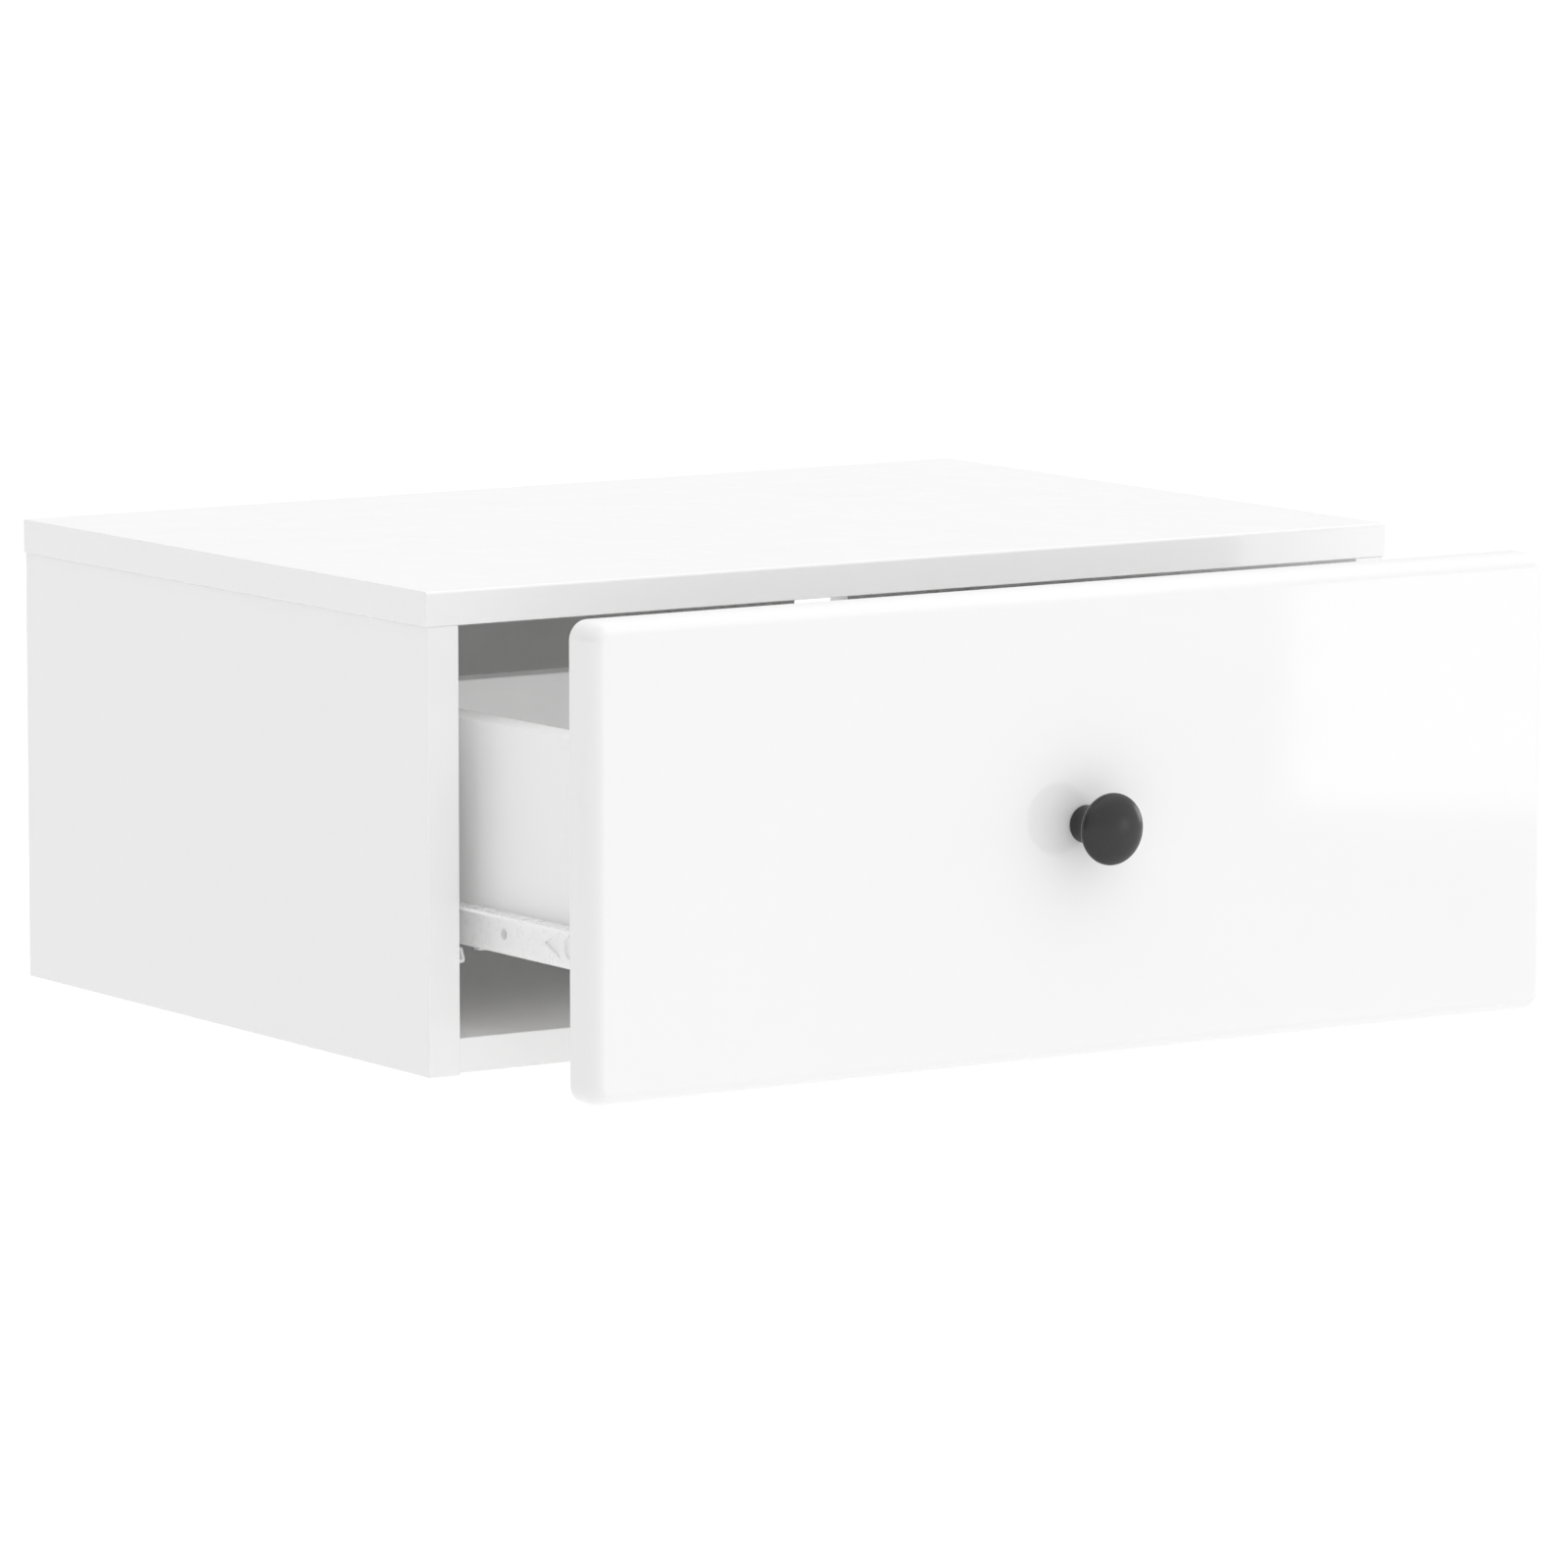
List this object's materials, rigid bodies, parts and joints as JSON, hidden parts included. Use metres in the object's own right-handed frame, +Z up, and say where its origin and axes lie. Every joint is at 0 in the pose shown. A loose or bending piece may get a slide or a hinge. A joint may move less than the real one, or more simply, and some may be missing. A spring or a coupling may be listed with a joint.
{
  "type": "wall-hung bedside cabinet",
  "caption": "Wall-hung bedside cabinet: a shallow open-front box on a keyhole hanging rail, with a full-overlay drawer on roller runners and a round knob.",
  "frame": {"origin": "on the wall plane (rear face of the hanging rail), midway between the centres of the two round keyhole entries", "axes": "+X to the right seen from the front of the cabinet, +Y towards and into the wall, +Z up; the drawer slides along -Y to open"},
  "size_m": [0.5, 0.4965, 0.2065],
  "materials": {
    "white_gloss_board": "high-gloss white lacquer on board",
    "white_gloss_front": "high-gloss white lacquer with rounded edges",
    "white_inner_board": "white melamine, satin",
    "white_hardboard": "thin hardboard, painted white on the inner side",
    "white_steel": "white epoxy powder coat",
    "white_nylon": "moulded nylon",
    "white_cap": "moulded cap, matt",
    "zinc_steel": "bright zinc plate",
    "zinc_casting": "cast zinc, dull",
    "beech": "fluted beech, unfinished",
    "knob_black": "charcoal black, satin"
  },
  "bodies": {
    "carcass": {"top_panel": "white_gloss_board", "left_side_panel": "white_gloss_board", "right_side_panel": "white_gloss_board", "bottom_panel": "white_gloss_board", "hanging_rail": "white_inner_board", "back_panel": "white_hardboard", "cabinet_dowels": "beech", "cabinet_cam_bolts": "zinc_steel", "cabinet_cam_locks": "zinc_casting", "cabinet_cam_caps": "white_cap", "left_cabinet_runner": "white_steel", "right_cabinet_runner": "white_steel", "cabinet_runner_screws": "zinc_steel", "front_roller_pins": "zinc_steel"},
    "drawer": {"drawer_front": "white_gloss_front", "drawer_left_side": "white_inner_board", "drawer_right_side": "white_inner_board", "drawer_back": "white_inner_board", "drawer_bottom": "white_hardboard", "drawer_dowels": "beech", "drawer_cam_bolts": "zinc_steel", "drawer_cam_locks": "zinc_casting", "drawer_cam_caps": "white_cap", "drawer_back_screws": "zinc_steel", "drawer_bottom_screws": "zinc_steel", "left_drawer_runner": "white_steel", "right_drawer_runner": "white_steel", "drawer_runner_screws": "zinc_steel", "rear_roller_pins": "zinc_steel", "knob": "knob_black", "knob_screw": "zinc_steel"},
    "left_front_roller_body": {"left_front_roller": "white_nylon"},
    "right_front_roller_body": {"right_front_roller": "white_nylon"},
    "left_rear_roller_body": {"left_rear_roller": "white_nylon"},
    "right_rear_roller_body": {"right_rear_roller": "white_nylon"}
  },
  "joints": [
    {"name": "drawer_slide", "type": "slide", "parent": "carcass", "child": "drawer", "axis": [0, -1, 0], "range_m": [-0.105, 0.075]},
    {"name": "left_front_roller_spin", "type": "hinge", "parent": "carcass", "child": "left_front_roller_body", "pos_m": [-0.2283, -0.32, -0.0831], "axis": [1, 0, 0], "continuous": true},
    {"name": "right_front_roller_spin", "type": "hinge", "parent": "carcass", "child": "right_front_roller_body", "pos_m": [0.2283, -0.32, -0.0831], "axis": [1, 0, 0], "continuous": true},
    {"name": "left_rear_roller_spin", "type": "hinge", "parent": "drawer", "child": "left_rear_roller_body", "pos_m": [-0.2283, -0.213, -0.0887], "axis": [1, 0, 0], "continuous": true},
    {"name": "right_rear_roller_spin", "type": "hinge", "parent": "drawer", "child": "right_rear_roller_body", "pos_m": [0.2283, -0.213, -0.0887], "axis": [1, 0, 0], "continuous": true}
  ],
  "couplings": [
    {"joint": "left_front_roller_spin", "follows": "drawer_slide", "rad_per_m": 117.65},
    {"joint": "right_front_roller_spin", "follows": "drawer_slide", "rad_per_m": 117.65},
    {"joint": "left_rear_roller_spin", "follows": "drawer_slide", "rad_per_m": 117.65},
    {"joint": "right_rear_roller_spin", "follows": "drawer_slide", "rad_per_m": 117.65}
  ]
}
